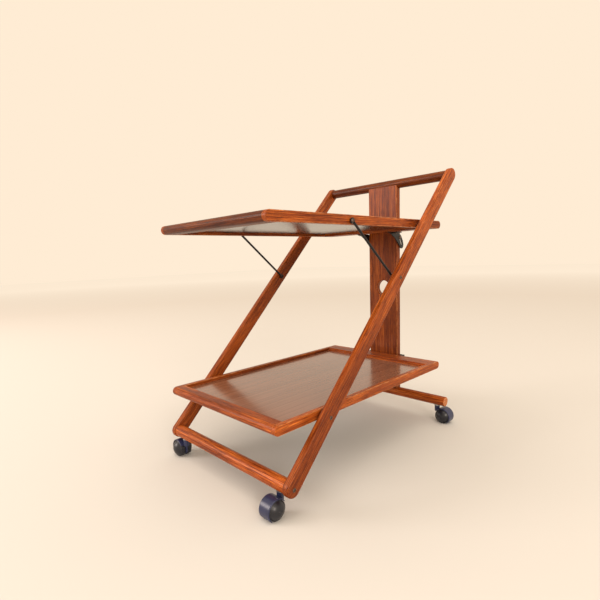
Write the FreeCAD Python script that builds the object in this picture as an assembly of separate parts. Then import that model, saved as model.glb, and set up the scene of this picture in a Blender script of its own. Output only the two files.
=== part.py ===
"""Folding bar cart on four twin-wheel casters, in mm.

+X is the cart's width, +Y runs from the front casters to the handle, +Z is up.
The floor is z = 0 and the middle of the cart's footprint is x = y = 0.
The cart stands open here. Every node is written as parts/NODE.step.
"""
import FreeCAD
import Part
import math
import os

V = FreeCAD.Vector

# Frame. Heights and depths are measured before the final shift along Y.
SHIFT_Y = 29.3
RAIL_IN = 209.0
RAIL_T = 18.0
RAIL_OUT = RAIL_IN + RAIL_T
RAIL_HALF = 18.0
RAIL_EDGE = 4.5
RAIL_FOOT = (-349.4, 66.5)
HANDLE = (315.0, 736.0)
FRONT_BAR_R = 15.5
HANDLE_R = 14.0
TENON_R = 9.0
TENON_LEN = 12.0
RUN = 0.06
SIDE_GAP = 0.5

# Rear leg: handle bar, board and rear bar turn together about the handle.
BOARD_HALF = 53.0
BOARD_Y = 302.0
BOARD_T = 20.0
REAR_BAR = (312.0, 65.0)
REAR_BAR_R = 14.5
REAR_BAR_HALF = 215.0
GRIP_Z = 409.6
GRIP_R = 24.0
DOWEL_R = 4.0

# Trays.
TRAY_HALF = 200.0
TRAY_FRONT = -370.0
TRAY_REAR = 297.0
TRAY_H = 22.0
SIDE_W = 12.0
FRONT_W = 38.0
REAR_W = 64.0
LEDGE_W = 8.0
PANEL_T = 5.0
PANEL_UP = 8.0
TONGUE_T = 3.4
GROOVE = 6.0
UPPER_Z = 586.0
LOWER_Z = 172.0

# Linkage: strut pivots, lower tray pivot, upper hinge pin and sliding tie.
PIVOT_P = (-121.2, 594.7)
PIVOT_Q = (39.2, 460.3)
PIVOT_R = (-234.8, 180.4)
PIN_H = (312.0, 570.0)
PIN_R = 3.0
STRUT_X = 204.5
STRUT_R = 3.0
LUG_R = 6.5
LUG_T = 3.0
SCREW_HEAD_R = 4.6
ARM_X = 54.5
ARM_T = 3.0
BRACKET_SCREW_Y = (273.5, 282.5)
TIE_X = 62.0
TIE_T = 3.0
TIE_Y = TRAY_REAR - TRAY_H / 2.0
TIE_Z = LOWER_Z + TRAY_H / 2.0

# Casters.
WHEEL_R = 21.5
WHEEL_W = 12.0
DOME_H = 10.0
WEB_T = 5.0
WEB_GAP = 0.7
TRAIL = 22.0
HOOD_OUT = 24.4
HOOD_IN = 22.5
HOOD_HALF_W = 15.5
AXLE_R = 3.0
STEM_R = 4.0
STEM_TOP = 65.0
SOCKET_TOP = 66.5
BOSS_TOP = 48.8
SOCKET_R = 6.5
FRONT_STEM_X = 185.0
REAR_STEM_X = 188.0

# Caster name, stem x, stem y, and heading of the trail in degrees.
CASTERS = (
    ("front_right", FRONT_STEM_X, RAIL_FOOT[0], -90.0),
    ("front_left", -FRONT_STEM_X, RAIL_FOOT[0], 180.0),
    ("rear_right", REAR_STEM_X, REAR_BAR[0], 0.0),
    ("rear_left", -REAR_STEM_X, REAR_BAR[0], 180.0),
)


def save(name, shape):
    """Move the shape into the row frame and write parts/NAME.step."""
    moved = shape.copy()
    moved.translate(V(0, SHIFT_Y, 0))
    moved.exportStep("parts/" + name + ".step")
    print(name, round(moved.Volume / 1000.0, 2), moved.isValid(), len(moved.Solids))


def rod_x(radius, x0, x1, yz):
    """Round bar along X from x0 to x1 with its axis at (y, z)."""
    return Part.makeCylinder(radius, x1 - x0, V(x0, yz[0], yz[1]), V(1, 0, 0))


def post(radius, x, y, z0, z1):
    """Upright round bar."""
    return Part.makeCylinder(radius, z1 - z0, V(x, y, z0), V(0, 0, 1))


def box(x0, x1, y0, y1, z0, z1):
    """Box between two corners."""
    return Part.makeBox(x1 - x0, y1 - y0, z1 - z0, V(x0, y0, z0))


def extrude_yz(points, x0, x1):
    """Prism along X from a closed list of (y, z) points."""
    wire = Part.makePolygon([V(x0, p[0], p[1]) for p in points + [points[0]]])
    return Part.Face(wire).extrude(V(x1 - x0, 0, 0))


def stadium_yz(a, b, radius, x0, x1):
    """Flat bar with half-round ends between the centres a and b, in (y, z)."""
    length = math.hypot(b[0] - a[0], b[1] - a[1])
    u = V(0, (b[0] - a[0]) / length, (b[1] - a[1]) / length)
    n = V(0, -u.z, u.y)
    pa = V(x0, a[0], a[1])
    pb = V(x0, b[0], b[1])
    edges = [
        Part.LineSegment(pa + n * radius, pb + n * radius).toShape(),
        Part.Arc(pb + n * radius, pb + u * radius, pb - n * radius).toShape(),
        Part.LineSegment(pb - n * radius, pa - n * radius).toShape(),
        Part.Arc(pa - n * radius, pa - u * radius, pa + n * radius).toShape(),
    ]
    return Part.Face(Part.Wire(edges)).extrude(V(x1 - x0, 0, 0))


def mirrored(shape):
    """Copy on the other side of the plane x = 0."""
    return shape.mirror(V(0, 0, 0), V(1, 0, 0))


def both_sides(shape):
    """The shape and its mirror image as one group of separate solids."""
    return Part.makeCompound([shape, mirrored(shape)])


def rail():
    """Right-hand sloping rail with its screw holes and blind handle hole."""
    body = stadium_yz(RAIL_FOOT, HANDLE, RAIL_HALF, RAIL_IN, RAIL_OUT)
    rim = [e for e in body.Edges if abs(e.BoundBox.XLength) < 0.01]
    body = body.makeFillet(RAIL_EDGE, rim)
    body = body.cut(rod_x(TENON_R + RUN, RAIL_IN - 1, RAIL_IN + TENON_LEN + 0.5, HANDLE))
    for centre in (RAIL_FOOT, PIVOT_Q, PIVOT_R):
        body = body.cut(rod_x(PIN_R, RAIL_IN - 1, RAIL_OUT + 1, centre))
    return body


def front_bar():
    """Round bar between the feet of the rails, bored for screws and sockets."""
    bar = rod_x(FRONT_BAR_R, -RAIL_IN, RAIL_IN, RAIL_FOOT)
    hole = rod_x(PIN_R, RAIL_IN - 14, RAIL_IN + 1, RAIL_FOOT)
    bar = bar.cut(hole).cut(mirrored(hole))
    for side in (-1, 1):
        bar = bar.cut(post(SOCKET_R, side * FRONT_STEM_X, RAIL_FOOT[0], 40, SOCKET_TOP))
    return bar


def handle_bar():
    """Round handle with a turned tenon at each end."""
    end = RAIL_IN - SIDE_GAP
    bar = rod_x(HANDLE_R, -end, end, HANDLE)
    edges = [e for e in bar.Edges if abs(e.BoundBox.XLength) < 0.01]
    bar = bar.makeFillet(1.0, edges)
    tenon = rod_x(TENON_R, end - 2, RAIL_IN + TENON_LEN, HANDLE)
    bar = bar.fuse(tenon).fuse(mirrored(tenon)).removeSplitter()
    for x in (-32, 32):
        bar = bar.cut(post(DOWEL_R, x, BOARD_Y + BOARD_T / 2, HANDLE[1] - 30, HANDLE[1]))
    return bar


def rear_bar():
    """Round bar at the foot of the board, with open rounded ends."""
    bar = rod_x(REAR_BAR_R, -REAR_BAR_HALF, REAR_BAR_HALF, REAR_BAR)
    edges = [e for e in bar.Edges if abs(e.BoundBox.XLength) < 0.01]
    bar = bar.makeFillet(2.0, edges)
    for side in (-1, 1):
        bar = bar.cut(post(SOCKET_R, side * REAR_STEM_X, REAR_BAR[0], 40, SOCKET_TOP))
        bar = bar.cut(post(DOWEL_R, side * 32, REAR_BAR[0], REAR_BAR[1], REAR_BAR[1] + 30))
    return bar


def back_board():
    """Upright board saddled onto both bars, with the round grip hole."""
    y1 = BOARD_Y + BOARD_T
    board = box(-BOARD_HALF, BOARD_HALF, BOARD_Y, y1, REAR_BAR[1], HANDLE[1])
    upright = [e for e in board.Edges if abs(e.BoundBox.ZLength) > 100]
    board = board.makeFillet(3.0, upright)
    hole = Part.makeCylinder(GRIP_R, BOARD_T + 2, V(0, BOARD_Y - 1, GRIP_Z), V(0, 1, 0))
    board = board.cut(hole)
    rims = []
    for edge in board.Edges:
        b = edge.BoundBox
        if b.YLength < 0.01 and abs(b.XLength - 2 * GRIP_R) < 0.5:
            rims.append(edge)
    board = board.makeFillet(3.0, rims)
    board = board.cut(rod_x(HANDLE_R, -80, 80, HANDLE))
    board = board.cut(rod_x(REAR_BAR_R, -80, 80, REAR_BAR))
    board = max(board.Solids, key=lambda s: s.Volume)
    board = board.cut(rod_x(PIN_R, -80, 80, PIN_H))
    for x in (-32, 32):
        board = board.cut(post(DOWEL_R, x, BOARD_Y + BOARD_T / 2, HANDLE[1] - 50, HANDLE[1]))
        board = board.cut(post(DOWEL_R, x, BOARD_Y + BOARD_T / 2, REAR_BAR[1], REAR_BAR[1] + 50))
        stop = Part.makeCylinder(2.0, 14, V(x, y1 - 12, TIE_Z - 9.5), V(0, 1, 0))
        board = board.cut(stop)
    return board


def board_dowels():
    """Four dowels that lock the board to the handle bar and the rear bar."""
    dowels = []
    for x in (-32, 32):
        y = BOARD_Y + BOARD_T / 2
        dowels.append(post(DOWEL_R, x, y, HANDLE[1] - 48, HANDLE[1] - 4))
        dowels.append(post(DOWEL_R, x, y, REAR_BAR[1] + 4, REAR_BAR[1] + 48))
    return Part.makeCompound(dowels)


def side_rail(z0):
    """Right-hand tray side: flat outer face, half-round ends, panel groove."""
    r = TRAY_H / 2.0
    zc = z0 + r
    bar = stadium_yz((TRAY_FRONT + r, zc), (TRAY_REAR - r, zc), r,
                     TRAY_HALF - SIDE_W, TRAY_HALF)
    rim = [e for e in bar.Edges if abs(e.BoundBox.XLength) < 0.01]
    bar = bar.makeFillet(1.5, rim)
    x0 = TRAY_HALF - SIDE_W
    groove = box(x0 - 1, x0 + GROOVE, TRAY_FRONT + FRONT_W - GROOVE,
                 TRAY_REAR - REAR_W + GROOVE, z0 + PANEL_UP, z0 + PANEL_UP + TONGUE_T)
    return bar.cut(groove)


def end_rail(z0, rear, notched):
    """Front or rear tray rail with a half-round outer edge and an inner ledge."""
    r = TRAY_H / 2.0
    zc = z0 + r
    x1 = TRAY_HALF - SIDE_W
    if rear:
        outer = TRAY_REAR
        into = -1.0
        width = REAR_W
    else:
        outer = TRAY_FRONT
        into = 1.0
        width = FRONT_W
    inner = outer + into * width
    a = (outer + into * r, zc)
    round_part = rod_x(r, -x1, x1, a)
    y_lo = min(a[0], inner)
    y_hi = max(a[0], inner)
    bar = round_part.fuse(box(-x1, x1, y_lo, y_hi, z0, z0 + TRAY_H)).removeSplitter()
    z_top = z0 + PANEL_UP + PANEL_T
    ledge = sorted((inner - into * LEDGE_W, inner + into))
    bar = bar.cut(box(-x1 - 1, x1 + 1, ledge[0], ledge[1], z_top + 4.0, z0 + TRAY_H + 1))
    groove = sorted((inner - into * GROOVE, inner + into))
    bar = bar.cut(box(-x1 - 1, x1 + 1, groove[0], groove[1],
                      z0 + PANEL_UP, z0 + PANEL_UP + TONGUE_T))
    if rear and not notched:
        for x in (ARM_X + 13, -ARM_X - 13):
            for y in BRACKET_SCREW_Y:
                bar = bar.cut(post(2.0, x, y, z0 - 1, z0 + 7))
    if notched:
        notch = box(TIE_X - 1.5, TIE_X + TIE_T + 1.5, TIE_Y - 8, TRAY_REAR + 1,
                    z0 - 1, z0 + TRAY_H + 1)
        pin = rod_x(PIN_R + RUN, TIE_X - 8, TIE_X + TIE_T + 8, (TIE_Y, TIE_Z))
        for cutter in (notch, pin):
            bar = bar.cut(cutter).cut(mirrored(cutter))
    return bar


def panel(z0):
    """Thin tray panel whose rebated edge sits in the grooves of the four rails."""
    x1 = TRAY_HALF - SIDE_W
    y0 = TRAY_FRONT + FRONT_W
    y1 = TRAY_REAR - REAR_W
    z = z0 + PANEL_UP
    g = GROOVE
    gap = 0.1
    tongue = box(-x1 - g, x1 + g, y0 - g, y1 + g, z, z + TONGUE_T)
    top = box(-x1 + gap, x1 - gap, y0 + gap, y1 - gap, z, z + PANEL_T)
    return tongue.fuse(top).removeSplitter()


def tray(name, z0, notched):
    """Write the five pieces of one tray."""
    save(name + "_panel", panel(z0))
    save(name + "_front_rail", end_rail(z0, False, False))
    save(name + "_rear_rail", end_rail(z0, True, notched))
    side = side_rail(z0)
    save(name + "_right_rail", side)
    save(name + "_left_rail", mirrored(side))


def strut():
    """Right-hand steel strut with a flattened eye at each end."""
    a = V(STRUT_X, PIVOT_P[0], PIVOT_P[1])
    b = V(STRUT_X, PIVOT_Q[0], PIVOT_Q[1])
    bar = Part.makeCylinder(STRUT_R, (b - a).Length, a, b - a)
    x0 = STRUT_X - LUG_T / 2
    for centre in (PIVOT_P, PIVOT_Q):
        bar = bar.cut(rod_x(LUG_R, x0 - 5, x0 + LUG_T + 5, centre))
        bar = bar.fuse(rod_x(LUG_R, x0, x0 + LUG_T, centre))
    bar = bar.removeSplitter()
    bar = bar.cut(rod_x(2.5, x0 - 5, x0 + LUG_T + 5, PIVOT_P))
    return bar.cut(rod_x(PIN_R + RUN, x0 - 5, x0 + LUG_T + 5, PIVOT_Q))


def domed_head(x, yz, radius, height, sign):
    """Low domed screw head on the plane x, rising along sign * X."""
    ball_r = (radius * radius + height * height) / (2 * height)
    centre = V(x + sign * (height - ball_r), yz[0], yz[1])
    ball = Part.makeSphere(ball_r, centre)
    slab = rod_x(radius, min(x, x + sign * height), max(x, x + sign * height), yz)
    return slab.common(ball)


def rail_screw(yz, x_end):
    """Screw through the right-hand rail, head outside, shank to x_end."""
    shank = rod_x(PIN_R, x_end, RAIL_OUT, yz)
    return shank.fuse(domed_head(RAIL_OUT, yz, SCREW_HEAD_R, 2.2, 1)).removeSplitter()


def strut_tray_screw():
    """Screw in the strut's upper eye; its tip stops at the tray's side."""
    x1 = STRUT_X + LUG_T / 2
    shank = rod_x(2.5, TRAY_HALF + 0.35, x1, PIVOT_P)
    return shank.fuse(domed_head(x1, PIVOT_P, 4.5, 2.0, 1)).removeSplitter()


def pivot_spacer():
    """Washer between the lower tray and the right-hand rail."""
    ring = rod_x(7.0, TRAY_HALF + 0.8, RAIL_IN, PIVOT_R)
    return ring.cut(rod_x(PIN_R, TRAY_HALF, RAIL_IN + 1, PIVOT_R))


def bracket_arm():
    """Right-hand steel arm under the upper tray, slotted round the hinge pin."""
    z = UPPER_Z
    outline = [(238, z), (262, z - 5), (284, z - 17), (303, z - 34), (319, z - 50),
               (326, z - 51), (332, z - 46), (333.5, z - 38), (330, z - 26),
               (321, z - 12), (311, z - 4), (300, z)]
    arm = extrude_yz(outline, ARM_X, ARM_X + ARM_T)
    tip = (323.5, z - 38)
    slot = stadium_yz(PIN_H, tip, PIN_R + RUN, ARM_X - 1, ARM_X + ARM_T + 1)
    arm = arm.cut(slot)
    tab = box(ARM_X, ARM_X + 20, 269, 295, z - 3, z)
    arm = arm.fuse(tab).removeSplitter()
    for y in BRACKET_SCREW_Y:
        arm = arm.cut(post(2.0, ARM_X + 13, y, z - 4, z + 1))
    return arm


def bracket_screws():
    """Four screws that hold the arms to the upper tray's rear rail."""
    group = []
    for side in (-1, 1):
        for y in BRACKET_SCREW_Y:
            x = side * (ARM_X + 13)
            shank = post(2.0, x, y, UPPER_Z - 3, UPPER_Z + 7)
            head = Part.makeCone(3.0, 4.0, 2.0, V(x, y, UPPER_Z - 5), V(0, 0, 1))
            group.append(head.fuse(shank).removeSplitter())
    return Part.makeCompound(group)


def hinge_pin():
    """Pin through the board, with a head outside each arm."""
    x1 = ARM_X + ARM_T + 0.5
    pin = rod_x(PIN_R, -x1, x1, PIN_H)
    head = domed_head(x1, PIN_H, 5.5, 3.0, 1)
    return pin.fuse(head).fuse(mirrored(head)).removeSplitter()


def lower_tie():
    """Steel tie that slides on the board and carries the lower tray's rear edge."""
    y1 = BOARD_Y + BOARD_T + 2.5
    x1 = TIE_X + TIE_T
    arm = stadium_yz((TIE_Y, TIE_Z), (y1 - 3, TIE_Z), 5.0, TIE_X, x1)
    arm = arm.fuse(rod_x(PIN_R, TIE_X - 7, x1 + 7, (TIE_Y, TIE_Z)))
    strap = box(-x1, x1, y1, y1 + 3, TIE_Z - 5, TIE_Z + 5)
    link = box(TIE_X, x1, y1 - 6, y1 + 3, TIE_Z - 5, TIE_Z + 5)
    tie = arm.fuse(link).fuse(mirrored(arm.fuse(link))).fuse(strap)
    return tie.removeSplitter()


def tie_stops():
    """Two pins on the back of the board under the tie's strap."""
    group = []
    y1 = BOARD_Y + BOARD_T
    z = TIE_Z - 9.5
    for x in (-32, 32):
        pin = Part.makeCylinder(2.0, 12, V(x, y1 - 12, z), V(0, 1, 0))
        head = Part.makeCylinder(4.0, 6, V(x, y1, z), V(0, 1, 0))
        group.append(pin.fuse(head).removeSplitter())
    return Part.makeCompound(group)


def socket(x, y, bar_r, bar_z):
    """Steel sleeve let into a bar for a caster's stem."""
    sleeve = post(SOCKET_R, x, y, bar_z - bar_r - 0.5, SOCKET_TOP)
    collar = post(8.5, x, y, bar_z - bar_r - 1.6, bar_z - bar_r + 3.5)
    collar = collar.cut(rod_x(bar_r, x - 20, x + 20, (y, bar_z)))
    body = sleeve.fuse(collar).removeSplitter()
    return body.cut(post(STEM_R + RUN, x, y, 40, STEM_TOP + 0.6))


def turn(shape, x, y, heading):
    """Place a caster piece built at the origin with its trail along +X."""
    placed = shape.copy()
    placed.rotate(V(0, 0, 0), V(0, 0, 1), heading)
    placed.translate(V(x, y, 0))
    return placed


def rod_y(radius, y0, y1, x, z):
    """Round bar along Y."""
    return Part.makeCylinder(radius, y1 - y0, V(x, y0, z), V(0, 1, 0))


def caster_hood():
    """Hood over the wheels with the central web and the stem boss."""
    w = HOOD_HALF_W
    ring = rod_y(HOOD_OUT, -w, w, TRAIL, WHEEL_R)
    ring = ring.makeFillet(2.0, [e for e in ring.Edges if abs(e.BoundBox.YLength) < 0.01])
    ring = ring.cut(rod_y(HOOD_IN, -w - 1, w + 1, TRAIL, WHEEL_R))
    keep = []
    for deg in (-50, -20, 10, 40, 70, 100, 130, 148):
        a = math.radians(deg)
        keep.append(V(TRAIL + 60 * math.cos(a), -w - 1, WHEEL_R + 60 * math.sin(a)))
    keep = [V(TRAIL, -w - 1, WHEEL_R)] + keep + [V(TRAIL, -w - 1, WHEEL_R)]
    wedge = Part.Face(Part.makePolygon(keep)).extrude(V(0, 2 * w + 2, 0))
    hood = ring.common(wedge)
    web = rod_y(HOOD_IN + 0.5, -WEB_T / 2, WEB_T / 2, TRAIL, WHEEL_R)
    web = web.cut(box(-20, 80, -20, 20, -10, 10))
    boss = post(7.5, 0, 0, 32, BOSS_TOP)
    boss = boss.cut(rod_y(HOOD_IN, -20, 20, TRAIL, WHEEL_R))
    hood = hood.fuse(web).fuse(boss).removeSplitter()
    hood = hood.cut(post(STEM_R, 0, 0, 41, 60))
    return hood.cut(rod_y(AXLE_R, -20, 20, TRAIL, WHEEL_R))


def caster_wheel():
    """One wheel of the pair, on the +Y side, with a domed outer face."""
    y0 = WEB_T / 2 + WEB_GAP
    y1 = y0 + WHEEL_W
    r = WHEEL_R
    flat = r - 1.5
    ball = (flat * flat + DOME_H * DOME_H) / (2 * DOME_H)
    mid_r = flat * 0.6
    mid_y = y1 + DOME_H - ball + math.sqrt(ball * ball - mid_r * mid_r)
    pts = [V(0, y0, 0), V(0, y0, r - 2), V(0, y0 + 2, r), V(0, y1 - 1.5, r), V(0, y1, flat)]
    edges = [Part.LineSegment(pts[i], pts[i + 1]).toShape() for i in range(4)]
    top = V(0, y1 + DOME_H, 0)
    edges.append(Part.Arc(pts[4], V(0, mid_y, mid_r), top).toShape())
    edges.append(Part.LineSegment(top, pts[0]).toShape())
    wheel = Part.Face(Part.Wire(edges)).revolve(V(0, 0, 0), V(0, 1, 0), 360)
    wheel = Part.Solid(wheel) if wheel.ShapeType != "Solid" else wheel
    wheel = wheel.cut(Part.makeCylinder(AXLE_R + RUN, WHEEL_W + 2.5, V(0, y0 - 1, 0), V(0, 1, 0)))
    wheel.translate(V(TRAIL, 0, WHEEL_R))
    return wheel


def caster_axle():
    """Axle pressed through the web."""
    half = WEB_T / 2 + WEB_GAP + WHEEL_W + 1.0
    return rod_y(AXLE_R, -half, half, TRAIL, WHEEL_R)


def caster(name, x, y, heading):
    """Write the five pieces of one caster."""
    wheel = caster_wheel()
    other = wheel.mirror(V(0, 0, 0), V(0, 1, 0))
    pieces = {
        "hood": caster_hood(),
        "stem": post(STEM_R, 0, 0, 41.0, STEM_TOP),
        "axle": caster_axle(),
        "wheel_a": wheel,
        "wheel_b": other,
    }
    for key in sorted(pieces):
        save("caster_" + name + "_" + key, turn(pieces[key], x, y, heading))


def frame_parts():
    """Write the sloping frame and its screws."""
    right = rail()
    save("rail_right", right)
    save("rail_left", mirrored(right))
    save("front_bar", front_bar())
    save("front_bar_screws", both_sides(rail_screw(RAIL_FOOT, RAIL_IN - 14)))
    save("strut_rail_screws", both_sides(rail_screw(PIVOT_Q, STRUT_X - LUG_T / 2 - 1)))
    save("lower_tray_pivot_screws", both_sides(rail_screw(PIVOT_R, TRAY_HALF + 0.5)))
    save("lower_tray_spacers", both_sides(pivot_spacer()))
    save("front_caster_sockets",
         both_sides(socket(FRONT_STEM_X, RAIL_FOOT[0], FRONT_BAR_R, RAIL_FOOT[1])))


def rear_leg_parts():
    """Write the board, its two bars and what is fixed to them."""
    save("handle_bar", handle_bar())
    save("back_board", back_board())
    save("rear_bar", rear_bar())
    save("board_dowels", board_dowels())
    save("upper_hinge_pin", hinge_pin())
    save("tie_stop_pins", tie_stops())
    save("rear_caster_sockets",
         both_sides(socket(REAR_STEM_X, REAR_BAR[0], REAR_BAR_R, REAR_BAR[1])))


def link_parts():
    """Write the struts, the tray bracket and the sliding tie."""
    right = strut()
    save("strut_right", right)
    save("strut_left", mirrored(right))
    save("strut_tray_screws", both_sides(strut_tray_screw()))
    arm = bracket_arm()
    save("tray_bracket_right", arm)
    save("tray_bracket_left", mirrored(arm))
    save("tray_bracket_screws", bracket_screws())
    save("lower_tray_tie", lower_tie())


def main():
    """Write every node of the cart."""
    os.makedirs("parts", exist_ok=True)
    frame_parts()
    rear_leg_parts()
    tray("upper_tray", UPPER_Z, False)
    tray("lower_tray", LOWER_Z, True)
    link_parts()
    for name, x, y, heading in CASTERS:
        caster(name, x, y, heading)


main()
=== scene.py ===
"""Dresses the folding bar cart's frame and adds its detailed pieces."""
import logging
import math
from dataclasses import dataclass
from enum import Enum
from typing import Iterable, Sequence

import bpy
from mathutils import Euler, Matrix, Vector


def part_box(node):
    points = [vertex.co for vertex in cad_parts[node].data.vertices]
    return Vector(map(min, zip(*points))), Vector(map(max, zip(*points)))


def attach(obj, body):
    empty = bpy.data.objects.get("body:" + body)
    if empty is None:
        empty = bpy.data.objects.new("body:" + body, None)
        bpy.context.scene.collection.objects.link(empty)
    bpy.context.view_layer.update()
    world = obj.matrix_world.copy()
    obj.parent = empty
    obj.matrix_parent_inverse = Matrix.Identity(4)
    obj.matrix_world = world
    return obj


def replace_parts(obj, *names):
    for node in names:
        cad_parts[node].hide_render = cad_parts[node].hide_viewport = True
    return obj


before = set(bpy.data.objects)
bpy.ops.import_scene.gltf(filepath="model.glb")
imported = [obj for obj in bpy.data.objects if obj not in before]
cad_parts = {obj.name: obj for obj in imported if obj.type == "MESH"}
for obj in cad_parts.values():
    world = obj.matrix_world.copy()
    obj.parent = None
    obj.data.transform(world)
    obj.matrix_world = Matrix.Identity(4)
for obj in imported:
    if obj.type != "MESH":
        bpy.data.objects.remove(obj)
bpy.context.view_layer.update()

log = logging.getLogger("bar_cart")

Colour = tuple[float, float, float, float]
Triple = tuple[float, float, float]


class Run(Enum):
    """The way a piece's grain runs, as the turn that lays it along X."""

    ACROSS = (0.0, 0.0, 0.0)
    DEPTH = (0.0, 0.0, math.radians(-90.0))
    UPRIGHT = (0.0, math.radians(90.0), 0.0)
    SLOPE = (math.radians(-45.1), 0.0, math.radians(-90.0))


class Graph:
    """A small helper that adds and joins a material's nodes."""

    def __init__(self, name: str) -> None:
        """Start a material with one Principled shader.

        Args:
            name: the material's name.
        """
        self.material = bpy.data.materials.new(name)
        self.material.use_nodes = True
        self.tree = self.material.node_tree
        self.shader = self.tree.nodes["Principled BSDF"]

    def add(self, kind: str, **values: object) -> bpy.types.Node:
        """Add a node and set its properties and sockets.

        Args:
            kind: Blender's node type.
            values: property names, or socket names with spaces as underscores.

        Returns:
            The new node.
        """
        node = self.tree.nodes.new(kind)
        for key, value in values.items():
            if hasattr(node, key):
                setattr(node, key, value)
            else:
                node.inputs[key.replace("_", " ")].default_value = value
        return node

    def join(self, out: bpy.types.NodeSocket, into: bpy.types.NodeSocket) -> None:
        """Link an output to an input."""
        self.tree.links.new(out, into)

    def place(self, turn: Triple, scale: Triple, shift: Triple = (0, 0, 0)) -> bpy.types.NodeSocket:
        """Object coordinates, turned so that the grain lies along X, then scaled.

        Args:
            turn: rotation of the pattern.
            scale: how the pattern is stretched after the turn.
            shift: offset that gives each piece its own cut of timber.

        Returns:
            The vector socket.
        """
        stretched = self.add("ShaderNodeMapping")
        stretched.inputs["Scale"].default_value = scale
        self.join(self.turned(turn, shift), stretched.inputs["Vector"])
        return stretched.outputs["Vector"]

    def turned(self, turn: Triple, shift: Triple = (0, 0, 0)) -> bpy.types.NodeSocket:
        """Turn Object coordinates so that the grain lies along X.

        Args:
            turn: rotation of the pattern.
            shift: offset that gives each piece its own cut of timber.

        Returns:
            The vector socket.
        """
        spot = self.add("ShaderNodeTexCoord")
        node = self.add("ShaderNodeMapping")
        node.inputs["Rotation"].default_value = turn
        node.inputs["Location"].default_value = shift
        self.join(spot.outputs["Object"], node.inputs["Vector"])
        return node.outputs["Vector"]

    def math(self, operation: str, a: bpy.types.NodeSocket, b: float | bpy.types.NodeSocket) -> bpy.types.NodeSocket:
        """Work out a sum of two strengths.

        Args:
            operation: Blender's name for the sum.
            a: the first strength.
            b: the second strength, or a fixed number.

        Returns:
            The result.
        """
        node = self.add("ShaderNodeMath", operation=operation)
        self.join(a, node.inputs[0])
        if isinstance(b, (int, float)):
            node.inputs[1].default_value = b
        else:
            self.join(b, node.inputs[1])
        return node.outputs[0]

    def near_edge(self, value: bpy.types.NodeSocket, middle: float, half: float,
                  band: float) -> bpy.types.NodeSocket:
        """Rises from 0 to 1 over the last band before a face.

        Args:
            value: the coordinate across the piece.
            middle: the piece's middle on it.
            half: half the piece's thickness.
            band: how wide the strip of painted highlight and wear is.

        Returns:
            The strength.
        """
        away = self.math("ABSOLUTE", self.math("SUBTRACT", value, middle), 0.0)
        node = self.add("ShaderNodeMapRange", interpolation_type="SMOOTHSTEP")
        node.inputs["From Min"].default_value = half - band
        node.inputs["From Max"].default_value = half - 0.1 * band
        self.join(away, node.inputs["Value"])
        return node.outputs["Result"]

    def noise(self, vector: bpy.types.NodeSocket, scale: float, detail: float = 4.0,
              rough: float = 0.6) -> bpy.types.NodeSocket:
        """Add a noise pattern.

        Args:
            vector: where the pattern is read.
            scale: how fine it is.
            detail: how many finer layers it has.
            rough: how strong the finer layers are.

        Returns:
            The pattern's strength.
        """
        node = self.add("ShaderNodeTexNoise")
        node.inputs["Scale"].default_value = scale
        node.inputs["Detail"].default_value = detail
        node.inputs["Roughness"].default_value = rough
        self.join(vector, node.inputs["Vector"])
        return node.outputs["Fac"]

    def ramp(self, value: bpy.types.NodeSocket, stops: Sequence[tuple[float, Colour]]) -> bpy.types.NodeSocket:
        """Turn a strength into a colour.

        Args:
            value: the strength.
            stops: places from 0 to 1 and their colours.

        Returns:
            The colour.
        """
        node = self.add("ShaderNodeValToRGB")
        band = node.color_ramp
        while len(band.elements) < len(stops):
            band.elements.new(0.5)
        for element, (spot, colour) in zip(band.elements, stops):
            element.position = spot
            element.color = colour
        self.join(value, node.inputs["Fac"])
        return node.outputs["Color"]

    def mix(self, blend: str, amount: float | bpy.types.NodeSocket, a: bpy.types.NodeSocket,
            b: bpy.types.NodeSocket) -> bpy.types.NodeSocket:
        """Blend two colours.

        Args:
            blend: Blender's name for the blend.
            amount: how much of the second colour, fixed or patterned.
            a: the first colour.
            b: the second colour.

        Returns:
            The blended colour.
        """
        node = self.add("ShaderNodeMix", data_type="RGBA", blend_type=blend)
        if isinstance(amount, (int, float)):
            node.inputs["Factor"].default_value = amount
        else:
            self.join(amount, node.inputs["Factor"])
        self.join(a, node.inputs[6])
        self.join(b, node.inputs[7])
        return node.outputs[2]

    def spread(self, value: bpy.types.NodeSocket, low: float, high: float) -> bpy.types.NodeSocket:
        """Rescale a strength from 0..1 to a new range.

        Args:
            value: the strength.
            low: what 0 becomes.
            high: what 1 becomes.

        Returns:
            The rescaled strength.
        """
        node = self.add("ShaderNodeMapRange")
        node.inputs["To Min"].default_value = low
        node.inputs["To Max"].default_value = high
        self.join(value, node.inputs["Value"])
        return node.outputs["Result"]

    def bump(self, height: bpy.types.NodeSocket, strength: float, depth: float) -> None:
        """Raise the surface by a height pattern.

        Args:
            height: the pattern.
            strength: how much of it shows.
            depth: its full height in metres.
        """
        node = self.add("ShaderNodeBump")
        node.inputs["Strength"].default_value = strength
        node.inputs["Distance"].default_value = depth
        self.join(height, node.inputs["Height"])
        self.join(node.outputs["Normal"], self.shader.inputs["Normal"])


@dataclass(frozen=True)
class Section:
    """The middle and half sizes of a piece across its grain, in metres."""

    mid_y: float
    mid_z: float
    half_y: float
    half_z: float

    @classmethod
    def of(cls, node: str, run: Run) -> "Section":
        """Measure a CAD node across its grain.

        Args:
            node: the node's name.
            run: the way its grain runs.

        Returns:
            The section.
        """
        turn = Euler(run.value, "XYZ").to_matrix()
        spots = [turn @ v.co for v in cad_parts[node].data.vertices]
        ys = [p.y for p in spots]
        zs = [p.z for p in spots]
        return cls((min(ys) + max(ys)) / 2, (min(zs) + max(zs)) / 2,
                   (max(ys) - min(ys)) / 2, (max(zs) - min(zs)) / 2)


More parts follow.
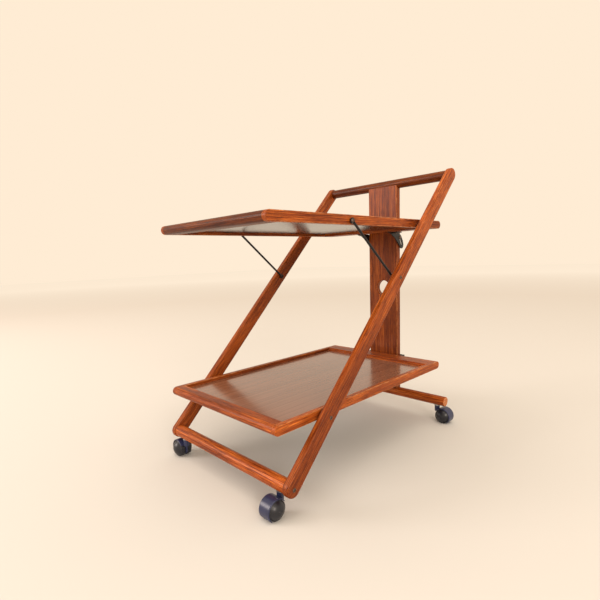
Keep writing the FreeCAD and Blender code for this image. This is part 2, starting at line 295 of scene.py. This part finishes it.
@dataclass(frozen=True)
class StainedWood:
    """Red-brown stained hardwood beneath a satin lacquer, its edges lightened by a painted highlight with some wear.
    """

    dark: Colour = (0.036, 0.0040, 0.0010, 1.0)
    middle: Colour = (0.300, 0.0520, 0.0070, 1.0)
    light: Colour = (0.780, 0.2200, 0.0340, 1.0)
    # Pale colour for sawn ends, also the painted highlight with wear on long edges.
    pale_wood_and_highlight: Colour = (0.640, 0.2700, 0.1000, 1.0)
    rough_low: float = 0.36
    rough_high: float = 0.52
    coat: float = 0.07

    def build(self, name: str, run: Run, shift: Triple = (0, 0, 0), tone_and_shade: float = 1.0,
              edges: Section | None = None) -> bpy.types.Material:
        """Make the material for one piece of timber.

        Args:
            name: the material's name.
            run: the way the grain runs.
            shift: offset into the grain.
            tone_and_shade: brightness of this board beside its neighbours, lowered on some pieces as painted shade.
            edges: the piece's section, where its long edges get a painted highlight with some wear.

        Returns:
            The material.
        """
        g = Graph(name)
        broad = g.noise(g.place(run.value, (2.4, 22.0, 22.0), shift), 1.0, 3.0, 0.55)
        streak = g.noise(g.place(run.value, (9.0, 780.0, 780.0), shift), 1.0, 6.0, 0.68)
        pore = g.noise(g.place(run.value, (34.0, 1150.0, 1150.0), shift), 1.0, 2.0, 0.5)
        dark, middle, light = (tuple(min(1.0, v * tone_and_shade) for v in c[:3]) + (1.0,)
                               for c in (self.dark, self.middle, self.light))
        base = g.ramp(streak, [(0.30, dark), (0.47, middle), (0.68, light)])
        bands = g.ramp(broad, [(0.36, (0.42, 0.34, 0.30, 1.0)), (0.62, (1.0, 1.0, 1.0, 1.0))])
        colour = g.mix("MULTIPLY", 0.8, base, bands)
        pores = g.ramp(pore, [(0.40, (0.12, 0.07, 0.05, 1.0)), (0.50, (1.0, 1.0, 1.0, 1.0))])
        colour = g.mix("MULTIPLY", 0.6, colour, pores)
        if run is Run.ACROSS:
            colour = self.end_grain(g, colour)
        if edges is not None:
            colour = self.paint_edge_highlight(g, colour, run, edges)
        g.join(colour, g.shader.inputs["Base Color"])
        g.join(g.spread(streak, self.rough_low, self.rough_high), g.shader.inputs["Roughness"])
        g.shader.inputs["Specular IOR Level"].default_value = 0.14
        g.shader.inputs["Coat Weight"].default_value = self.coat
        g.shader.inputs["Coat Roughness"].default_value = 0.14
        g.bump(pore, 0.14, 0.0004)
        return g.material

    def end_grain(self, g: Graph, colour: bpy.types.NodeSocket) -> bpy.types.NodeSocket:
        """Lighten a cross bar's sawn ends, which take less stain.

        Args:
            g: the material being built.
            colour: the timber's colour.

        Returns:
            The colour with paler, speckled ends.
        """
        spot = g.add("ShaderNodeTexCoord")
        parts = g.add("ShaderNodeSeparateXYZ")
        g.join(spot.outputs["Normal"], parts.inputs[0])
        sideways = g.math("GREATER_THAN", g.math("ABSOLUTE", parts.outputs["X"], 0.0), 0.8)
        speckle = g.noise(g.place((0.0, 0.0, 0.0), (700.0, 700.0, 700.0)), 1.0, 3.0, 0.6)
        sawn = g.ramp(speckle, [(0.36, self.middle), (0.62, self.pale_wood_and_highlight)])
        return g.mix("MIX", sideways, colour, sawn)

    def paint_edge_highlight(self, g: Graph, colour: bpy.types.NodeSocket, run: Run, edges: Section) -> bpy.types.NodeSocket:
        """Lighten the long edges in patches with a painted highlight and some wear.

        Args:
            g: the material being built.
            colour: the timber's colour.
            run: the way the grain runs.
            edges: the piece's section.

        Returns:
            The colour with a painted highlight and wear on its edges.
        """
        parts = g.add("ShaderNodeSeparateXYZ")
        g.join(g.turned(run.value), parts.inputs[0])
        over_y = g.near_edge(parts.outputs["Y"], edges.mid_y, edges.half_y, 0.0034)
        over_z = g.near_edge(parts.outputs["Z"], edges.mid_z, edges.half_z, 0.0034)
        patch = g.ramp(g.noise(g.place(run.value, (55.0, 260.0, 260.0)), 1.0, 4.0, 0.7),
                       [(0.42, (0, 0, 0, 1.0)), (0.66, (0.85, 0.85, 0.85, 1.0))])
        amount = g.math("MULTIPLY", g.math("MULTIPLY", over_y, over_z), patch)
        # The pale edge colour is a painted highlight, with some wear, along the long edges.
        edge_highlight_and_wear = g.add("ShaderNodeRGB")
        edge_highlight_and_wear.outputs[0].default_value = self.pale_wood_and_highlight
        return g.mix("MIX", amount, colour, edge_highlight_and_wear.outputs[0])


@dataclass(frozen=True)
class Laminate:
    """Glossy brown veneer of a tray's panel, with painted shade underneath: a grey-brown so dark it is nearly black.
    """

    dark: Colour = (0.190, 0.074, 0.038, 1.0)
    light: Colour = (0.320, 0.140, 0.078, 1.0)
    # Painted shade for the panel's underside.
    underside_shade: Colour = (0.020, 0.015, 0.012, 1.0)
    rough: float = 0.2

    def build(self, name: str) -> bpy.types.Material:
        """Make the panel's material.

        Args:
            name: the material's name.

        Returns:
            The material.
        """
        g = Graph(name)
        band = g.noise(g.place(Run.DEPTH.value, (1.1, 14.0, 14.0)), 1.0, 3.0, 0.5)
        line = g.noise(g.place(Run.DEPTH.value, (3.0, 300.0, 300.0)), 1.0, 4.0, 0.6)
        base = g.ramp(line, [(0.30, self.dark), (0.70, self.light)])
        tint = g.ramp(band, [(0.3, (0.78, 0.74, 0.72, 1.0)), (0.7, (1.0, 1.0, 1.0, 1.0))])
        top = g.mix("MULTIPLY", 0.7, base, tint)
        # Faces that point down get the painted shade colour instead of the veneer.
        low = tuple(v * 0.8 for v in self.underside_shade[:3]) + (1.0,)
        underside_shade = g.ramp(line, [(0.3, low), (0.7, self.underside_shade)])
        spot = g.add("ShaderNodeTexCoord")
        parts = g.add("ShaderNodeSeparateXYZ")
        g.join(spot.outputs["Normal"], parts.inputs[0])
        facing_down = g.math("LESS_THAN", parts.outputs["Z"], -0.5)
        g.join(g.mix("MIX", facing_down, top, underside_shade), g.shader.inputs["Base Color"])
        g.join(g.spread(line, self.rough - 0.03, self.rough + 0.05), g.shader.inputs["Roughness"])
        g.shader.inputs["Coat Weight"].default_value = 0.3
        g.shader.inputs["Coat Roughness"].default_value = 0.12
        g.bump(line, 0.05, 0.0002)
        return g.material


@dataclass(frozen=True)
class Metal:
    """Plain or lacquered steel with fine rubbing marks."""

    colour: Colour
    metallic: float
    rough: float
    wear: float = 0.1

    def build(self, name: str) -> bpy.types.Material:
        """Make the metal.

        Args:
            name: the material's name.

        Returns:
            The material.
        """
        g = Graph(name)
        mark = g.noise(g.place((0, 0, 0), (160.0, 160.0, 160.0)), 1.0, 4.0, 0.6)
        low = tuple(v * 0.7 for v in self.colour[:3]) + (1.0,)
        g.join(g.ramp(mark, [(0.35, low), (0.65, self.colour)]), g.shader.inputs["Base Color"])
        g.join(g.spread(mark, self.rough - self.wear, self.rough + self.wear), g.shader.inputs["Roughness"])
        g.shader.inputs["Metallic"].default_value = self.metallic
        g.bump(mark, 0.05, 0.0002)
        return g.material


@dataclass(frozen=True)
class Plastic:
    """Moulded plastic with a faint skin texture."""

    colour: Colour
    rough: float
    skin: float = 0.06
    grain: float = 900.0

    def build(self, name: str) -> bpy.types.Material:
        """Make the plastic.

        Args:
            name: the material's name.

        Returns:
            The material.
        """
        g = Graph(name)
        skin = g.noise(g.place((0, 0, 0), (self.grain,) * 3), 1.0, 3.0, 0.5)
        cloud = g.noise(g.place((0, 0, 0), (45.0, 45.0, 45.0)), 1.0, 2.0, 0.5)
        low = tuple(v * 0.75 for v in self.colour[:3]) + (1.0,)
        g.join(g.ramp(cloud, [(0.35, low), (0.65, self.colour)]), g.shader.inputs["Base Color"])
        g.join(g.spread(cloud, self.rough - 0.03, self.rough + 0.06), g.shader.inputs["Roughness"])
        g.bump(skin, self.skin, 0.0002)
        return g.material


WOOD = StainedWood()
LAMINATE = Laminate()
BLACK_STEEL = Metal((0.012, 0.012, 0.013, 1.0), 0.35, 0.34)
SCREW_STEEL = Metal((0.16, 0.11, 0.09, 1.0), 1.0, 0.3)
ZINC = Metal((0.50, 0.49, 0.48, 1.0), 1.0, 0.3)
# Black hood plastic tinted blue: the blue is a painted reflection.
HOOD_PLASTIC_BLUE_SHEEN = Plastic((0.024, 0.030, 0.085, 1.0), 0.30)
WHEEL_PLASTIC = Plastic((0.010, 0.011, 0.018, 1.0), 0.32)


def dress(node: str, material: bpy.types.Material) -> None:
    """Give a CAD node its material.

    Args:
        node: the node's name.
        material: its finish.
    """
    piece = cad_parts[node]
    piece.data.materials.clear()
    piece.data.materials.append(material)
    log.info("dressed %s", node)


def dress_wood(node: str, run: Run, shift: Triple, tone_and_shade: float = 1.0, edge_highlight_and_wear: bool = True) -> None:
    """Give a wooden CAD node its own cut of timber.

    Args:
        node: the node's name.
        run: the way its grain runs.
        shift: offset into the grain.
        tone_and_shade: brightness beside its neighbours, lowered on some pieces as painted shade.
        edge_highlight_and_wear: whether its long edges get a painted highlight with some wear.
    """
    edges = Section.of(node, run) if edge_highlight_and_wear else None
    dress(node, WOOD.build(f"{node}_wood", run, shift, tone_and_shade, edges))


class Turned:
    """A round piece shaped from a cylinder along X, with its outer face toward +X."""

    def __init__(self, name: str, radius: float, length: float, sides: int = 96) -> None:
        """Add the cylinder, centred on the origin.

        Args:
            name: the piece's name.
            radius: the cylinder's radius.
            length: its length along X.
            sides: how many sides it has.
        """
        bpy.ops.object.select_all(action="DESELECT")
        bpy.ops.mesh.primitive_cylinder_add(vertices=sides, radius=radius, depth=length,
                                            location=(0, 0, 0), rotation=(0, math.pi / 2, 0))
        bpy.ops.object.transform_apply(location=True, rotation=True, scale=True)
        self.piece = bpy.context.object
        self.piece.name = name
        self.radius = radius
        self.half = length / 2

    def clear(self, mode: str) -> None:
        """Let go of the mesh's parts and choose what to pick next.

        Args:
            mode: "VERT", "EDGE" or "FACE".
        """
        bpy.ops.object.mode_set(mode="EDIT")
        bpy.ops.mesh.select_mode(type=mode)
        bpy.ops.mesh.select_all(action="DESELECT")
        bpy.ops.object.mode_set(mode="OBJECT")

    def pick_end(self, side: int) -> None:
        """Select the flat end on one side, ready in edit mode.

        Args:
            side: +1 for the outer end, -1 for the inner end.
        """
        self.clear("FACE")
        ends = [f for f in self.piece.data.polygons if f.normal.x * side > 0.99]
        max(ends, key=lambda f: f.center.x * side).select = True
        bpy.ops.object.mode_set(mode="EDIT")

    def round_rims(self, width: float) -> None:
        """Round both rims of the cylinder.

        Args:
            width: how far the rounding reaches.
        """
        self.clear("EDGE")
        spots = self.piece.data.vertices
        for edge in self.piece.data.edges:
            a, b = (spots[i].co for i in edge.vertices)
            edge.select = abs(a.x - b.x) < 1e-6
        bpy.ops.object.mode_set(mode="EDIT")
        bpy.ops.mesh.bevel(offset=width, segments=4, affect="EDGES")
        bpy.ops.object.mode_set(mode="OBJECT")

    def rings(self, side: int, steps: Sequence[tuple[float, float]]) -> None:
        """Shape an end with rings, each a step inward and a rise.

        Args:
            side: +1 for the outer end, -1 for the inner end.
            steps: how far each ring goes in and how far it rises.
        """
        self.pick_end(side)
        for inward, rise in steps:
            bpy.ops.mesh.inset(thickness=inward, depth=rise)
        bpy.ops.object.mode_set(mode="OBJECT")

    def draw_out(self, side: int, length: float) -> None:
        """Extrude the innermost face of an end along the axis.

        Args:
            side: +1 for the outer end, -1 for the inner end.
            length: how far it goes.
        """
        self.pick_end(side)
        bpy.ops.mesh.extrude_region_move(TRANSFORM_OT_translate={"value": (side * length, 0, 0)})
        bpy.ops.object.mode_set(mode="OBJECT")

    def groove(self, x: float, width: float, depth: float) -> None:
        """Sink a narrow ring into the round side.

        Args:
            x: the groove's middle along the axis.
            width: how wide it is.
            depth: how deep it is.
        """
        for cut in (x - width, x - width / 2, x + width / 2, x + width):
            bpy.ops.object.mode_set(mode="EDIT")
            bpy.ops.mesh.select_all(action="SELECT")
            bpy.ops.mesh.bisect(plane_co=(cut, 0, 0), plane_no=(1, 0, 0))
            bpy.ops.object.mode_set(mode="OBJECT")
        self.clear("VERT")
        for spot in self.piece.data.vertices:
            spot.select = abs(spot.co.x - x) < 0.6 * width
        bpy.ops.object.mode_set(mode="EDIT")
        shrink = 1 - depth / self.radius
        bpy.ops.transform.resize(value=(1, shrink, shrink), center_override=(0, 0, 0))
        bpy.ops.object.mode_set(mode="OBJECT")

    def smooth(self) -> None:
        """Shade the round surfaces smooth and keep the corners."""
        bpy.ops.object.select_all(action="DESELECT")
        self.piece.select_set(True)
        bpy.context.view_layer.objects.active = self.piece
        bpy.ops.object.shade_smooth_by_angle(angle=math.radians(32))


def dome(radius: float, height: float, inner: float, count: int) -> list[tuple[float, float]]:
    """Rings that follow a round cap.

    Args:
        radius: the cap's edge.
        height: how high its middle would stand.
        inner: the radius where the rings stop.
        count: how many rings.

    Returns:
        The steps, each inward and up.
    """
    ball = (radius * radius + height * height) / (2 * height)
    base = math.sqrt(ball * ball - radius * radius)
    stops = [radius + (inner - radius) * i / count for i in range(count + 1)]
    rise = [math.sqrt(ball * ball - s * s) - base for s in stops]
    return [(stops[i] - stops[i + 1], rise[i + 1] - rise[i]) for i in range(count)]


def copy_to(piece: bpy.types.Object, name: str, turn: float, spot: Triple) -> bpy.types.Object:
    """Copy a piece with its own mesh, turned about Z and set in its place.

    Args:
        piece: the piece to copy.
        name: the copy's name.
        turn: its turn about Z.
        spot: its place.

    Returns:
        The copy, with its place in its mesh.
    """
    twin = piece.copy()
    twin.data = piece.data.copy()
    twin.name = name
    bpy.context.scene.collection.objects.link(twin)
    twin.rotation_euler = (0, 0, turn)
    twin.location = spot
    bpy.ops.object.select_all(action="DESELECT")
    twin.select_set(True)
    bpy.context.view_layer.objects.active = twin
    bpy.ops.object.transform_apply(location=True, rotation=True, scale=True)
    return twin


@dataclass
class CrossScrew:
    """A pair of cross-recessed screws, one in each side rail."""

    node: str
    body: str
    shank: float = 0.003
    rim: float = 0.0005
    slot_wide: float = 0.0009
    slot_long: float = 0.0050
    slot_deep: float = 0.0011

    def build(self, steel: bpy.types.Material) -> None:
        """Model one screw, copy it to both sides and join the pair.

        Args:
            steel: the screws' finish.
        """
        low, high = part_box(self.node)
        spots = [v.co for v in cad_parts[self.node].data.vertices]
        head = (high.z - low.z) / 2
        tip = min(abs(p.x) for p in spots)
        face = min(abs(p.x) for p in spots
                   if math.hypot(p.y - (low.y + high.y) / 2, p.z - (low.z + high.z) / 2) > head * 0.98)
        rise = high.x - face - self.rim
        screw = Turned(f"{self.node}_pattern", head, self.rim, 48)
        screw.rings(1, dome(head, rise, 0.0008, 6))
        screw.rings(-1, [(head - self.shank, 0.0)])
        screw.draw_out(-1, face - tip)
        self.recess(screw.piece, rise)
        screw.smooth()
        middle = ((low.y + high.y) / 2, (low.z + high.z) / 2)
        pair = [copy_to(screw.piece, f"{self.node}_cross_{label}", turn,
                        (side * (face + self.rim / 2), *middle))
                for label, side, turn in (("right", 1, 0.0), ("left", -1, math.pi))]
        bpy.data.objects.remove(screw.piece)
        bpy.ops.object.select_all(action="DESELECT")
        for one in pair:
            one.select_set(True)
        bpy.context.view_layer.objects.active = pair[0]
        bpy.ops.object.join()
        piece = bpy.context.object
        piece.name = f"{self.node}_cross"
        piece.data.materials.clear()
        piece.data.materials.append(steel)
        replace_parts(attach(piece, self.body), self.node)
        log.info("modelled %s", piece.name)

    def recess(self, piece: bpy.types.Object, rise: float) -> None:
        """Cut the cross into the head with two flat blades.

        Args:
            piece: the screw.
            rise: how high its head stands above the rim.
        """
        for size in ((self.slot_wide, self.slot_long), (self.slot_long, self.slot_wide)):
            bpy.ops.object.select_all(action="DESELECT")
            top = self.rim / 2 + rise
            bpy.ops.mesh.primitive_cube_add(size=1.0, location=(top + 0.001 - self.slot_deep, 0, 0),
                                            scale=(0.002, *size))
            blade = bpy.context.object
            bpy.context.view_layer.objects.active = piece
            cut = piece.modifiers.new("cross", "BOOLEAN")
            cut.operation = "DIFFERENCE"
            cut.object = blade
            bpy.ops.object.modifier_apply(modifier=cut.name)
            bpy.data.objects.remove(blade)


class SlopingFrame:
    """Side rails, front bar and what is screwed to them."""

    def build(self) -> None:
        """Dress the frame's pieces."""
        dress_wood("rail_right", Run.SLOPE, (0.0, 0.3, 0.0), 1.05)
        dress_wood("rail_left", Run.SLOPE, (0.7, 0.1, 0.2), 1.0)
        dress_wood("front_bar", Run.ACROSS, (0.2, 0.0, 0.4), 1.15, False)
        steel = SCREW_STEEL.build("screw_steel")
        for node in ("front_bar_screws", "strut_rail_screws", "lower_tray_pivot_screws"):
            CrossScrew(node, "frame").build(steel)
        dress("lower_tray_spacers", Plastic((0.02, 0.02, 0.02, 1.0), 0.5).build("spacer_black"))
        dress("front_caster_sockets", ZINC.build("front_socket_zinc"))


class RearLeg:
    """Handle bar, board and rear bar."""

    def build(self) -> None:
        """Dress the rear leg's pieces."""
        # The handle bar's low brightness of 0.42 is painted shade.
        dress_wood("handle_bar", Run.ACROSS, (0.4, 0.2, 0.1), 0.42, False)
        dress_wood("back_board", Run.UPRIGHT, (0.1, 0.6, 0.3), 0.85)
        dress_wood("rear_bar", Run.ACROSS, (0.9, 0.5, 0.1), 1.1, False)
        dress_wood("board_dowels", Run.UPRIGHT, (0.1, 0.1, 0.9), 1.8, False)
        steel = SCREW_STEEL.build("pin_steel")
        dress("upper_hinge_pin", steel)
        dress("tie_stop_pins", steel)
        dress("rear_caster_sockets", ZINC.build("rear_socket_zinc"))


@dataclass
class Tray:
    """One rimmed tray."""

    name: str
    seed: float
    front_rail_tone_and_shade: float

    def build(self) -> None:
        """Dress the tray's rails and panel."""
        runs = {"front_rail": Run.ACROSS, "rear_rail": Run.ACROSS,
                "right_rail": Run.DEPTH, "left_rail": Run.DEPTH}
        for index, (part, run) in enumerate(runs.items()):
            shift = (self.seed, 0.17 * index, 0.31 * index)
            tone_and_shade = self.front_rail_tone_and_shade if part == "front_rail" else 1.1
            dress_wood(f"{self.name}_{part}", run, shift, tone_and_shade, part.startswith(("left", "right")))
        dress(f"{self.name}_panel", LAMINATE.build(f"{self.name}_veneer"))


class Linkage:
    """Struts, bracket arms and the sliding tie."""

    def build(self) -> None:
        """Dress the steel pieces."""
        steel = BLACK_STEEL.build("black_steel")
        for node in ("strut_right", "strut_left", "tray_bracket_right", "tray_bracket_left",
                     "lower_tray_tie"):
            dress(node, steel)
        screw = SCREW_STEEL.build("small_screw_steel")
        dress("strut_tray_screws", screw)
        dress("tray_bracket_screws", screw)


@dataclass
class Caster:
    """One swivelling twin-wheel caster."""

    name: str
    tread: float = 0.012
    shoulder: float = 0.0015
    seam: float = 0.0006
    hub: float = 0.0042

    def wheel(self, side: str, material: bpy.types.Material) -> None:
        """Model one wheel with a rounded tread, a seam, a domed face and a hub.

        Args:
            side: "a" or "b".
            material: its finish.
        """
        node = f"caster_{self.name}_wheel_{side}"
        low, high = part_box(node)
        axle_low, axle_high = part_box(f"caster_{self.name}_axle")
        size = high - low
        axis = 0 if size.x < size.y else 1
        middle = (low + high) / 2
        way = 1 if middle[axis] > ((axle_low + axle_high) / 2)[axis] else -1
        radius = size.z / 2
        flat = radius - self.shoulder
        wheel = Turned(f"{node}_pattern", radius, self.tread)
        wheel.round_rims(self.shoulder)
        cap = flat - 2 * self.seam
        height = size[axis] - self.tread - self.seam
        wheel.rings(1, [(self.seam, -self.seam), (self.seam, self.seam),
                        *dome(cap, height, self.hub, 14), (self.seam, -self.seam),
                        (self.seam, self.seam)])
        wheel.rings(-1, [(0.004, 0.0), (self.seam, -2 * self.seam)])
        for x in (-0.3 * self.tread, 0.3 * self.tread):
            wheel.groove(x, self.seam, self.seam / 2)
        wheel.smooth()
        spot = middle.copy()
        spot[axis] = (low if way > 0 else high)[axis] + way * self.tread / 2
        turn = {(0, 1): 0.0, (0, -1): math.pi, (1, 1): math.pi / 2, (1, -1): -math.pi / 2}[(axis, way)]
        piece = copy_to(wheel.piece, f"{node}_domed", turn, tuple(spot))
        bpy.data.objects.remove(wheel.piece)
        piece.data.materials.clear()
        piece.data.materials.append(material)
        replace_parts(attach(piece, f"{node}_body"), node)
        log.info("modelled %s", piece.name)

    def build(self) -> None:
        """Dress the caster and model its wheels."""
        stem = f"caster_{self.name}"
        zinc = ZINC.build(f"{stem}_zinc")
        # The hood's blue tint is a painted reflection on black plastic.
        dress(f"{stem}_hood", HOOD_PLASTIC_BLUE_SHEEN.build(f"{stem}_hood_black_blue_sheen"))
        dress(f"{stem}_stem", zinc)
        dress(f"{stem}_axle", zinc)
        for side in ("a", "b"):
            self.wheel(side, WHEEL_PLASTIC.build(f"{stem}_wheel_{side}_black"))


@dataclass(frozen=True)
class Studio:
    """Floor, soft lights and the camera."""

    eye: Triple = (0.78764, -0.85115, 0.5178)
    yaw: float = math.radians(46.36)
    pitch: float = math.radians(-7.43)
    roll: float = math.radians(-2.1)
    lens: float = 25.25
    shift: tuple[float, float] = (0.0181, 0.0215)
    # Floor colours by distance: painted shade near the cart, fading to the pale backdrop far off.
    near_floor_shade: Colour = (0.67, 0.66, 0.64, 1.0)
    mid_floor_shade: Colour = (0.76, 0.73, 0.70, 1.0)
    far_floor: Colour = (0.97, 0.97, 0.97, 1.0)

    def floor(self) -> None:
        """Lay the pale floor, with painted shade darkening it toward the cart."""
        bpy.ops.object.select_all(action="DESELECT")
        bpy.ops.mesh.primitive_plane_add(size=30.0, location=(0, 0, 0))
        plane = bpy.context.object
        plane.name = "floor"
        g = Graph("pale_floor_painted_shade")
        # Painted shade: the floor darkens toward the middle, where the cart stands.
        reach = g.add("ShaderNodeTexGradient", gradient_type="SPHERICAL")
        g.join(g.place((0, 0, 0), (0.10, 0.10, 0.10)), reach.inputs["Vector"])
        g.join(g.ramp(reach.outputs["Fac"], [(0.0, self.far_floor), (0.55, self.mid_floor_shade), (1.0, self.near_floor_shade)]),
               g.shader.inputs["Base Color"])
        g.shader.inputs["Roughness"].default_value = 1.0
        g.shader.inputs["Specular IOR Level"].default_value = 0.0
        plane.data.materials.append(g.material)

    def lamp(self, name: str, spot: Triple, aim: Triple, size: float, power: float,
             tint: Triple = (1.0, 1.0, 1.0)) -> None:
        """Hang one soft area light.

        Args:
            name: the light's name.
            spot: where it hangs.
            aim: the point it faces.
            size: its side.
            power: its strength in watts.
            tint: its colour.
        """
        data = bpy.data.lights.new(name, "AREA")
        data.size = size
        data.energy = power
        data.color = tint
        light = bpy.data.objects.new(name, data)
        bpy.context.scene.collection.objects.link(light)
        light.location = spot
        way = Vector(aim) - Vector(spot)
        light.rotation_euler = way.to_track_quat("-Z", "Y").to_euler()

    def lights(self) -> None:
        """Hang the studio's lights and set the surround."""
        self.lamp("overhead", (0.8, -0.8, 5.0), (0.0, 0.0, 0.4), 3.0, 62.0, (1.0, 0.88, 0.76))
        self.lamp("right_front", (4.4, -2.4, 2.2), (0.0, 0.0, 0.4), 2.0, 118.0, (1.0, 0.88, 0.76))
        self.lamp("left_front", (-3.2, -3.8, 2.0), (0.0, 0.0, 0.3), 2.0, 125.0, (1.0, 0.88, 0.82))
        world = bpy.data.worlds.new("surround")
        bpy.context.scene.world = world
        world.use_nodes = True
        sky = world.node_tree.nodes["Background"]
        sky.inputs["Color"].default_value = (1.0, 0.839, 0.658, 1.0)
        sky.inputs["Strength"].default_value = 1.0
        bpy.context.scene.view_settings.view_transform = "Standard"

    def camera(self) -> None:
        """Set up the camera."""
        look = Vector((-math.sin(self.yaw) * math.cos(self.pitch),
                       math.cos(self.yaw) * math.cos(self.pitch), math.sin(self.pitch)))
        right = Vector((math.cos(self.yaw), math.sin(self.yaw), 0.0))
        up = right.cross(look)
        side = right * math.cos(self.roll) + up * math.sin(self.roll)
        top = up * math.cos(self.roll) - right * math.sin(self.roll)
        data = bpy.data.cameras.new("camera")
        data.lens = self.lens
        data.sensor_width = 36.0
        data.shift_x, data.shift_y = self.shift
        eye = bpy.data.objects.new("camera", data)
        bpy.context.scene.collection.objects.link(eye)
        turn = Matrix((side, top, -look)).transposed().to_4x4()
        eye.matrix_world = Matrix.Translation(self.eye) @ turn
        bpy.context.scene.camera = eye

    def build(self) -> None:
        """Make the whole studio."""
        self.floor()
        self.lights()
        self.camera()


def main() -> None:
    """Build every sub-assembly, then the studio."""
    logging.basicConfig(level=logging.INFO, format="%(name)s: %(message)s")
    SlopingFrame().build()
    RearLeg().build()
    # The upper tray's front rail brightness of 0.48 is painted shade.
    Tray("upper_tray", 0.0, 0.48).build()
    Tray("lower_tray", 0.8, 1.1).build()
    Linkage().build()
    for name in ("front_right", "front_left", "rear_right", "rear_left"):
        Caster(name).build()
    Studio().build()


if __name__ == "__main__":
    main()
